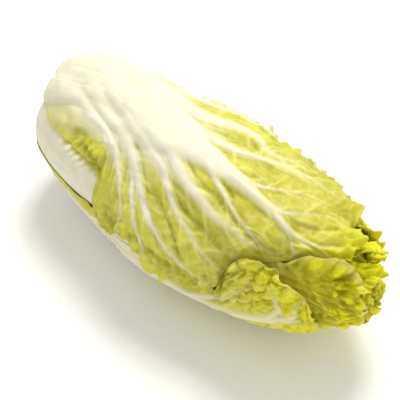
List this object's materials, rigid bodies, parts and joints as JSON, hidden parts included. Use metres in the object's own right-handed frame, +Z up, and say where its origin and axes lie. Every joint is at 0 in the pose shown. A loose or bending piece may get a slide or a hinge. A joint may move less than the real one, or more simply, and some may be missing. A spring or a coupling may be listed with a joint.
{
  "type": "napa cabbage",
  "caption": "Long barrel-shaped napa cabbage head lying on its side, with white midribs, pale green wrapped leaves and a frilled yellow-green tip.",
  "frame": {"origin": "middle of the head's box, on the surface it lies on", "axes": "+X from the cut stem to the frilled tip, +Y to the far side, +Z up as it lies on its side"},
  "size_m": [0.3112, 0.1364, 0.1255],
  "materials": {
    "outer_leaf": "waxy leaf, cream ribs on pale yellow-green blade",
    "heart_leaf": "crisp yellow-green frilled leaf",
    "stem_flesh": "freshly cut pale stem flesh"
  },
  "bodies": {
    "root": {"stem": "stem_flesh", "heart": "heart_leaf", "leaf_1_top": "outer_leaf", "leaf_2_near_side": "outer_leaf", "leaf_3_far_side": "outer_leaf", "leaf_4_inner_near_side": "outer_leaf", "leaf_5_inner_underside": "outer_leaf", "leaf_6_inner_far_side": "outer_leaf"}
  },
  "joints": []
}
